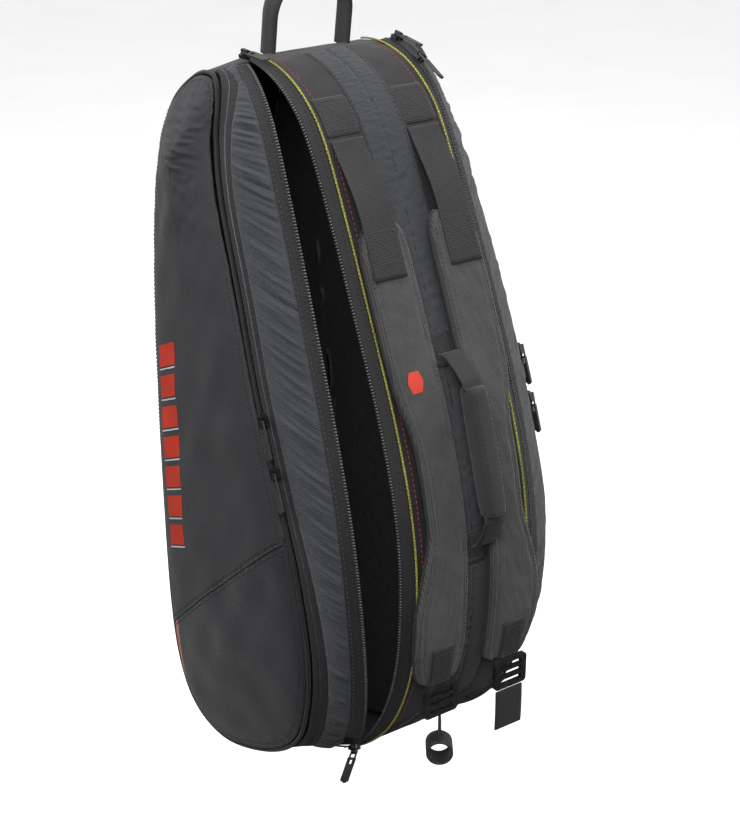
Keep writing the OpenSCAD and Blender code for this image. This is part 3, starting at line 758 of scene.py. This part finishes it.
u = np.arange(FOOT, STATIONS + 0.01, 1 / 10)
half = [over(x, u, 0) for x in np.linspace(0, SPINE_HALF, 15)]
half += [rail(u, f * (1 - LID_GAP / reach(u)), 0) for f in np.linspace(0, 1, 16)[1:]]
half = np.stack(half, 1)
grid = np.concatenate([(half * (-1, 1, 1))[:, :0:-1], half], 1)
spot = ripple(grid[..., 0], u[:, None] * 70, 80, 60, 31)
grid = grid + normal_at(u)[:, None] * (0.5 * spot - 0.5)[..., None]
obj = panel("back_cloth", grid, "spine_fabric", "bag", 2.4, replaces=["back_gusset"])

for side, mirrored in SIDES:
    u = np.arange(-0.6, FOOT + 0.61, 0.06)
    tube(f"{side}_yellow_piping", over(SPINE_HALF, u, 1.3), 1.05, "accent_piping", "bag", left=mirrored,
         replaces=[f"{side}_spine_piping"])


# ---------------------------------------------------------------- zips and gussets
def tooth_shape():
    base = [(x, y, 0) for x, y in ((-1.1, -1.5), (1.1, -1.5), (1.1, 1.5), (-1.1, 1.5))]
    crown = [(x * 0.7, y * 0.8, 1.6) for x, y, _ in base]
    waist = [(x, y, 1.0) for x, y, _ in base]
    points = base + waist + crown
    faces = [(3, 2, 1, 0), (8, 9, 10, 11)]
    for low in (0, 4):
        faces += [(low + j, low + (j + 1) % 4, low + 4 + (j + 1) % 4, low + 4 + j) for j in range(4)]
    return points, faces


def teeth(name, line, start, end, body, mirrored, shift=0.0):
    at = evenly(line, start, end, 3.0)[1:-1]
    here = line(at)
    points, faces = tooth_shape()
    points = np.array(points) + (0, shift, 0)
    scatter(name, here, line(at + 0.02) - line(at - 0.02), section_out(at), points, faces, "zip_teeth", body,
            slot="zip_tape", left=mirrored)


def gusset_grid(open_angle):
    rows, cols = np.arange(0, FOOT + 0.001, 1 / 40), np.linspace(0, 1, 30)
    near = lip_edge(rows, LIP_START + lip_w(rows) - 1.5)
    if open_angle:
        near = np.where((rows <= MOUTH_END)[:, None], opened(near, open_angle), near)
    far = pocket_edge(rows)
    t = cols[None]
    slack = GUSSET_BULGE * puff(rows)[:, None] * (0.8 if open_angle else 0.35)
    size = arc_length(pocket_edge(rows))[:, None]
    width = np.linalg.norm(far - near, axis=-1)[:, None]
    folds = 1.5 * ripple(t * width, size, 420, 20, 41 if open_angle else 42, ridged=True)
    folds = folds + 0.5 * ripple(t * width, size, 120, 10, 43)
    height = slack * bell(t) + folds * bell(t, 0.6) * np.minimum(width / 30, 1)
    grid = near[:, None] + (far - near)[:, None] * t[..., None]
    return grid + section_out(rows)[:, None] * height[..., None], rows


STRIPS = [0, 2.4, 3.6, 4.8, 6.0, 7.2, 8.4, 9.6, 10.5, 11.0]
for side, mirrored in SIDES:
    angle = LEFT_OPEN if mirrored else 0.0
    mouth = side + "_mouth"
    flip = np.array([-1, 1, 1]) if mirrored else np.ones(3)
    grid, rows = gusset_grid(angle)
    for k, (first, last) in enumerate(zip(STRIPS, STRIPS[1:])):
        pick = (rows >= first - 1e-6) & (rows <= last + 1e-6)
        part = grid[pick]
        middle = part[len(part) // 2] * flip * MM
        joined = ("bag", mouth, tuple(middle[-1]), tuple(middle[0])) if last <= MOUTH_END else None
        weave = cloth_grid(part)
        weave[..., 1] += 95 * first
        obj = piece(f"{side}_gusset_cloth_{k}", part, quads(*part.shape[:2]), "gusset_twill", "bag",
                    left=mirrored, replaces=[f"{side}_gusset"], blend=joined, flat=weave)
        thicken(obj, 1.2)

    u = np.arange(0, FOOT + 0.001, 1 / 20)
    t = np.linspace(0, 1, 9)
    spine_tape = np.stack([from_seam(u, 0.5 + 13.5 * f, 4 * f) for f in t], 1)
    panel(f"{side}_spine_tape_cloth", spine_tape, "zip_tape", "bag", 1.4, left=mirrored,
          replaces=[f"{side}_spine_zip_tape"])
    stitches(f"{side}_spine_tape_stitch", from_seam(u, 5.0, 1.8), section_out(u), "thread_dark", "bag",
             slot="zip_tape", left=mirrored)

    spans = [(0.35, 10.35, mouth, f"{side}_lip_zip_tape", "lip")]
    if not mirrored:
        spans = [(0.35, 1.78, "bag", "right_lip_tape_top", "lip_top"),
                 (1.8, 10.35, mouth, "right_lip_zip_tape", "lip")]
    for first, last, body, node, tag in spans:
        u = np.append(np.arange(first, last, 1 / 20), last)
        tape = np.stack([opened(lip_edge(u, LIP_START + lip_w(u) * f), angle) for f in t], 1)
        panel(f"{side}_{tag}_tape_cloth", tape, "zip_tape", body, 1.4, left=mirrored, replaces=[node])
        out = section_out(u)
        for d, tone in ((0.72, "thread_grey"), (0.3, "thread_dark")):
            row = lip_edge(u, LIP_START + lip_w(u) * d)
            stitches(f"{side}_{tag}_stitch_{tone}", opened(row + 0.3 * out, angle), out, tone, body,
                     slot="zip_tape", left=mirrored)

    if mirrored:
        teeth("left_spine_teeth", lambda v: from_seam(v, 14.6, 3.6), 0.1, 10.6, "bag", True)
        teeth("left_lip_teeth", lambda v: opened(lip_edge(v, 17.2), LEFT_OPEN), 0.4, 10.4, mouth, True)
    else:
        teeth("right_teeth_spine_half", lambda v: from_seam(v, 14.9, 4), 0.1, 10.5, "bag", False)
        teeth("right_teeth_lip_top", lambda v: from_seam(v, 16.7, 4), 0.1, 1.78, "bag", False)
        teeth("right_teeth_lip_half", lambda v: from_seam(v, 16.7, 4), 1.82, 10.4, mouth, False)

    u = np.arange(0, FOOT + 0.001, 1 / 24)
    near, far, out = pocket_edge(u), from_lid(u, LID_GAP, 2), pocket_out(u)
    t = np.linspace(0, 1, 15)
    crown = 0.8 * bell(t)[None] - 0.9 * np.exp(-(((t - 0.5) / 0.05) ** 2))[None]
    band_grid = near[:, None] + (far - near)[:, None] * t[None, :, None] + out[:, None] * crown[..., None]
    panel(f"{side}_pocket_tape_cloth", band_grid, "zip_tape", "bag", 1.4, left=mirrored,
          replaces=[f"{side}_pocket_zip_tape"])
    wobble = 1.0 + 0.12 * np.sin(np.arange(0, FOOT, 0.01) * 170)
    tube(f"{side}_pocket_coil",
         pocket_line(np.arange(0, FOOT, 0.01)) + 0.2 * pocket_out(np.arange(0, FOOT, 0.01)),
         wobble, "zip_teeth", "bag", sides=8, left=mirrored, slot="zip_tape")
    for d in (0.2, 0.8):
        stitches(f"{side}_pocket_stitch_{int(d * 10)}", near + (far - near) * d + out * 0.7, out,
                 "thread_dark",
                 "bag", slot="zip_tape", left=mirrored)


# ---------------------------------------------------------------- lining
for side, mirrored in SIDES:
    u = np.arange(0, STATIONS, 1 / 6)
    inset = np.where(u < FOOT, pocket_w(u), LID_GAP + 1)
    rim = from_lid(u, inset, 0) - section_out(u) * 4
    steps = np.broadcast_to(np.linspace(0, 1, 26)[None], (len(u), 26))
    yz, inside = drawn_in(rim, steps)
    x = rim[:, :1] + (116 - rim[:, :1]) * smooth(steps / 0.25)
    x = x + 0.9 * ripple(yz[..., 0], yz[..., 1], 70, 90, 51) * smooth(inside / 40) - 0.8
    points = np.concatenate([x[..., None], yz], -1)
    obj = piece(f"{side}_lining_cloth", points, quads(*points.shape[:2], wrap_rows=True), "lining", "bag",
                left=mirrored, replaces=[f"{side}_inner_wall"], flat=points[..., 1:])
    thicken(weld(obj), 1.6)
u = np.arange(0, STATIONS, 1 / 5)
rim = over(0, u, -13)
yz, inside = drawn_in(rim, np.broadcast_to(np.linspace(0, 1, 20)[None], (len(u), 20)))
x = 2.2 + 0.3 * ripple(yz[..., 0], yz[..., 1], 80, 110, 52)
points = np.concatenate([x[..., None], yz], -1)
obj = piece("center_divider_cloth", points, quads(*points.shape[:2], wrap_rows=True), "lining", "bag",
            replaces=["center_divider"], flat=points[..., 1:])
thicken(weld(obj), 4)


# ---------------------------------------------------------------- webbing, patches and stitched boxes
def on_band(x, u, along, across, lift):
    """A place on the spine, at so many millimetres along and across from station u."""
    rate = np.linalg.norm(band(u + 0.05) - band(u - 0.05)) / 0.1
    return over(x + across, u + along / rate, lift)


def sewn_patch(name, x, u, length, width, lift, body, node=None, mirrored=False, box=True):
    a, b = np.linspace(-length / 2, length / 2, 15)[:, None], np.linspace(-width / 2, width / 2, 15)[None]
    rise = lift + 1.5 - 0.5 * (np.abs(2 * a / length) ** 8 + np.abs(2 * b / width) ** 8)
    grid = on_band(x, u, a, b, rise)
    panel(name, grid, "webbing", body, 1.4, left=mirrored, replaces=[node] if node else [])
    if box:
        stitched_box(name, lambda p, q: on_band(x, u, p, q, lift + 1.75), u, length - 9, width - 9, body,
                     mirrored)


def stitched_box(name, place, u, length, width, body, mirrored):
    h, w = length / 2, width / 2
    corners = [(-h, -w), (h, -w), (h, w), (-h, w), (-h, -w), (h, w), (h, -w), (-h, w)]
    for k, (a, b) in enumerate(zip(corners, corners[1:])):
        f = np.linspace(0, 1, 12)
        line = place(a[0] + (b[0] - a[0]) * f, a[1] + (b[1] - a[1]) * f)
        stitches(f"{name}_stitch_{k}", line, normal_at(u), "thread_grey", body, slot="webbing", pitch=3.6,
                 length=2.5, radius=0.35, left=mirrored)


z = np.linspace(-80, -42, 12)
a = np.linspace(0, math.pi, 40)
loop = np.concatenate([np.stack([np.full(12, 43.5), z], -1),
                       np.stack([43.5 * np.cos(a), -42 + 43.5 * np.sin(a)], -1)[1:-1],
                       np.stack([np.full(12, -43.5), z[::-1]], -1)])
lean = math.radians(8.4)
strap("haul_loop_webbing", np.stack([loop[:, 0], -loop[:, 1] * math.tan(lean), loop[:, 1]], -1),
      (0, math.cos(lean), math.sin(lean)), 24, 2.6, "webbing", "bag", replaces=["haul_loop"])
sewn_patch("handle_anchor_top", 0, 5.30, 34, 26, 2.5, "bag", "handle_anchors")
sewn_patch("handle_anchor_foot", 0, 7.50, 34, 26, 2.5, "bag")

PAD = np.array([(4.0, 63), (4.3, 68), (5.2, 68), (5.7, 66), (6.1, 57), (7.2, 56), (7.7, 68), (8.1, 76),
                (8.7, 75),
                (9.1, 66)])


def pad_far(u):
    smooth_u = np.stack([np.interp(u + k, PAD[:, 0], PAD[:, 1]) for k in np.linspace(-0.16, 0.16, 9)])
    return smooth_u.mean(0)


for side, mirrored in SIDES:
    body = side + "_strap"
    sewn_patch(f"{side}_top_anchor", 44, 2.4, 38, 38, 0.3, "bag", f"{side}_strap_anchor", mirrored)
    sewn_patch(f"{side}_foot_anchor", 44, 10.2, 34, 36, 0.3, "bag", f"{side}_lower_anchor", mirrored)

    u = np.arange(4.0, 9.101, 0.04)
    ends = 1 - 0.22 * (np.exp(-(u - 4.0) / 0.09) + np.exp(-(9.1 - u) / 0.09))
    far = 14 + (pad_far(u) - 14) * ends
    near = 14 + (pad_far(u) - 14) * (1 - ends)
    s = np.concatenate([np.linspace(0, 1, 33), np.linspace(1, 0, 15)[1:-1]])
    top = np.arange(len(s)) < 33
    x = near[:, None] + (far - near)[:, None] * s[None]
    from_edge = np.minimum(x - near[:, None], far[:, None] - x)
    round_off = np.sqrt(np.clip(1 - (1 - np.clip(from_edge / 6, 0, 1)) ** 2, 0, 1))
    end_off = np.sqrt(np.clip(1 - (1 - np.clip(np.minimum(u - 4.0, 9.1 - u) * 85 / 6, 0, 1)) ** 2, 0,
                              1))[:, None]
    groove = 1.5 * np.exp(-(((from_edge - 7.5) / 1.3) ** 2))
    upper = 3.5 + 5.0 + (6.0 * round_off - groove) * (0.25 + 0.75 * end_off)
    upper = upper + 0.35 * ripple(x, u[:, None] * 85, 30, 22, 61) * round_off
    lower = 3.5 + 5.0 - 4.8 * round_off * end_off
    rings = over(x, u[:, None], np.where(top[None], upper, lower))
    obj = loft(f"{side}_shoulder_pad_cloth", rings, "pad_fabric", body, left=mirrored,
               replaces=[f"{side}_shoulder_pad"],
               flat=np.stack([x, np.broadcast_to(u[:, None] * 85, x.shape)], -1))
    inner = u[4:-4]
    for k, edge_x in enumerate((near[4:-4] + 4.2, far[4:-4] - 4.2)):
        stitches(f"{side}_pad_stitch_{k}", over(edge_x, inner, 14.2), normal_at(inner), "thread_dark", body,
                 slot="pad_fabric", pitch=4.6, left=mirrored)
    rim = np.concatenate([over(near, u, 8.5), over(far, u, 8.5)[::-1]])
    tube(f"{side}_pad_binding", rim, 1.5, "binding", body, closed=True, slot="pad_fabric", left=mirrored)

    u = np.concatenate([np.linspace(2.95, 3.95, 24), np.linspace(3.95, 4.55, 14)[1:]])
    height = np.where(u < 3.95, 1.5 + 13 * smooth((u - 2.95)), 14.5) + 1.1
    strap(f"{side}_strap_webbing_cloth", over(44, u, height), (1, 0, 0), 36, 1.8, "webbing", body,
          left=mirrored,
          replaces=[f"{side}_strap_webbing"])
    stitched_box(f"{side}_pad_top", lambda p, q: on_band(44, 4.25, p, q, 16.8), 4.25, 30, 28, body, mirrored)
    u = np.linspace(8.55, 9.1, 16)
    strap(f"{side}_strap_patch_cloth", over(44, u, 16.0), (1, 0, 0), 26, 1.8, "webbing", body, left=mirrored,
          replaces=[f"{side}_strap_patch"])
    stitched_box(f"{side}_pad_foot", lambda p, q: on_band(44, 8.83, p, q, 17.2), 8.83, 34, 19, body,
                 mirrored)
    u = np.linspace(9.5, 10.05, 18)
    strap(f"{side}_lower_webbing_cloth", over(44, u, 14 - 11.6 * (u - 9.5) / 0.55 + 1.0), (1, 0, 0), 26, 1.9,
          "webbing", "bag", left=mirrored, replaces=[f"{side}_lower_webbing"])

# the small mark on the left pad
a, b = np.meshgrid(np.linspace(-9, 9, 8), np.linspace(-10, 10, 8))
points = on_band(45, 5.55, b, a * (1 - 0.4 * np.abs(b) / 10), 15.1)
piece("left_pad_mark", points, quads(8, 8), "print_red", "left_strap", slot="pad_fabric", left=True,
      flat=np.stack([a, b], -1))

# the webbing that hangs from the ladder-locks
f = np.linspace(0, 1, 24)
tail_z = -679.5 - 43.5 * f
strap("right_tail_cloth", np.stack([np.full(24, 44.0), -273 - 0.5 * np.sin(f * 3), tail_z], -1),
      (1, 0, 0), 34, 2.6,
      "webbing", "right_strap_tail", replaces=["right_webbing_tail"])
turn = math.radians(36)
a = np.linspace(math.pi / 2, math.pi / 2 + 2 * math.pi, 50)
bight = np.concatenate([np.stack([np.zeros(8), np.linspace(0, -23, 8)], -1),
                        np.stack([12.2 * np.cos(a), -36 + 12.2 * np.sin(a)], -1)])
reach_out = np.array([math.cos(turn), -math.sin(turn), 0])
points = np.array([-44, -273, -679.5]) + bight[:, :1] * reach_out + bight[:, 1:] * np.array([0, 0, 1])
strap("left_tail_cloth", points, (math.sin(turn), math.cos(turn), 0), 22, 2.6, "webbing", "left_strap_tail",
      replaces=["left_webbing_tail"])

# ---------------------------------------------------------------- carry handle
TOP, LOW = over(0, 5.35, 9.0), over(0, 7.45, 9.0)
RUN = unit(LOW - TOP)
OUT = np.array([0, RUN[2], -RUN[1]])
SPAN = float(np.linalg.norm(LOW - TOP))


def handle(s, h, across=0.0):
    s, h, across = spread(s, h, across)
    return TOP + s[..., None] * RUN + h[..., None] * OUT + across[..., None] * np.array([1.0, 0, 0])


path = [(0, 3.5), (0.6, 8), (3, 13), (13, 23), (24.5, 31.5), (34, 33)]
s, h = np.array(path, float).T
fine = np.linspace(0, 1, 30)
s, h = (np.interp(fine, np.linspace(0, 1, len(path)), v) for v in (s, h))
for k, far in enumerate((False, True)):
    strap(f"handle_webbing_{k}", handle(SPAN - s if far else s, h), (1, 0, 0), 22, 2.4, "webbing",
          "carry_handle",
          replaces=["handle_webbing"])
s = np.linspace(32, SPAN - 32, 46)
a = np.linspace(0, 2 * math.pi, 40, endpoint=False)
t = (s - 32) / (SPAN - 64)
tight = 0.80 + 0.20 * bell(t, 0.28)
power = 2 / 3.2
cx = np.sign(np.cos(a)) * np.abs(np.cos(a)) ** power * 11
cy = np.sign(np.sin(a)) * np.abs(np.sin(a)) ** power * 13
bow = 33 + 1.4 * bell(t, 1.0)
rings = handle(s[:, None], bow[:, None] + cy[None] * tight[:, None], cx[None] * tight[:, None])
obj = loft("handle_grip_cloth", rings, "grip", "carry_handle", replaces=["handle_grip"])
for k, side_x in enumerate((-7.5, 7.5)):
    line = handle(s[3:-3], (bow + 12.6 * tight)[3:-3], side_x)
    stitches(f"handle_stitch_{k}", line, OUT, "thread_dark", "carry_handle", slot="grip", pitch=4.6)

# ---------------------------------------------------------------- hardware kept from the part
for name, node in frame["nodes"].items():
    slot_name = next(p["material_slot"] for p in frame["record"]["subparts"] if p["node"] == name)
    if slot_name in ("zip_metal", "pull_rubber", "buckle_plastic", "stiffener"):
        node.data.materials.clear()
        node.data.materials.append(MATERIALS[slot_name])
        if slot_name != "stiffener":
            soft = node.modifiers.new("edges", "BEVEL")
            soft.width, soft.segments, soft.limit_method = 0.35 * MM, 2, "ANGLE"

# ---------------------------------------------------------------- stage
CAMERA = np.array([-960.517, -1418.028, 283.855]) * MM
rotation = Matrix(((0.809, 0.233, -0.540), (-0.588, 0.321, -0.743), (0.0, 0.918, 0.397))).normalized()
camera_data = bpy.data.cameras.new("camera")
camera_data.lens, camera_data.sensor_width, camera_data.sensor_fit = 77.99, 36.0, "AUTO"
camera_data.clip_start, camera_data.clip_end = 0.05, 50
camera = bpy.data.objects.new("camera", camera_data)
camera.matrix_world = Matrix.Translation(Vector(CAMERA)) @ rotation.to_4x4()
bpy.context.scene.collection.objects.link(camera)
bpy.context.scene.camera = camera


def area_light(name, place, aim, size, power):
    data = bpy.data.lights.new(name, "AREA")
    data.shape, data.size, data.energy = "DISK", size, power
    light = bpy.data.objects.new(name, data)
    light.location = place
    light.rotation_euler = (Vector(aim) - Vector(place)).to_track_quat("-Z", "Y").to_euler()
    bpy.context.scene.collection.objects.link(light)


area_light("key", (-1.6, -1.9, 1.5), (0, -0.1, -0.35), 1.6, 95)
area_light("fill", (2.2, -1.6, 0.3), (0, -0.1, -0.45), 2.0, 28)
area_light("top", (0.1, -0.3, 2.1), (0, -0.1, -0.3), 1.6, 38)
area_light("rim", (-1.6, 1.6, 0.6), (0, 0, -0.4), 1.5, 26)

world = bpy.data.worlds.new("studio")
world.use_nodes = True
sky, links = world.node_tree.nodes, world.node_tree.links
sky["Background"].inputs["Color"].default_value = (1, 1, 1, 1)
kinds = ("TexCoord", "SeparateXYZ", "MapRange", "LightPath", "Math")
direction, apart, fade, path_kind, brighter = (sky.new("ShaderNode" + kind) for kind in kinds)
brighter.operation = "MAXIMUM"
for k, value in enumerate((-0.15, 0.60, 0.04, 1.0), 1):
    fade.inputs[k].default_value = value
links.new(direction.outputs["Generated"], apart.inputs[0])
links.new(apart.outputs["Z"], fade.inputs[0])
links.new(fade.outputs[0], brighter.inputs[0])
links.new(path_kind.outputs["Is Camera Ray"], brighter.inputs[1])
links.new(brighter.outputs[0], sky["Background"].inputs["Strength"])
bpy.context.scene.world = world

floor_shader = Shader("floor", (0.93, 0.93, 0.93), 0.85)
haze = floor_shader.noise(floor_shader.node("TexCoord").outputs["Object"], 0.35, 2.0)
floor_shader.color(floor_shader.ramp(haze, [(0.3, (0.92, 0.92, 0.92)), (0.7, (0.95, 0.95, 0.95))]))
mesh = bpy.data.meshes.new("floor")
mesh.from_pydata([(-40, -40, -1.15), (40, -40, -1.15), (40, 40, -1.15), (-40, 40, -1.15)], [],
                 [(0, 1, 2, 3)])
mesh.materials.append(floor_shader.material)
floor = bpy.data.objects.new("floor", mesh)
bpy.context.scene.collection.objects.link(floor)
floor.visible_diffuse = floor.visible_glossy = False
floor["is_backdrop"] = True
bpy.context.scene.view_settings.view_transform = "Standard"

low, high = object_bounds()
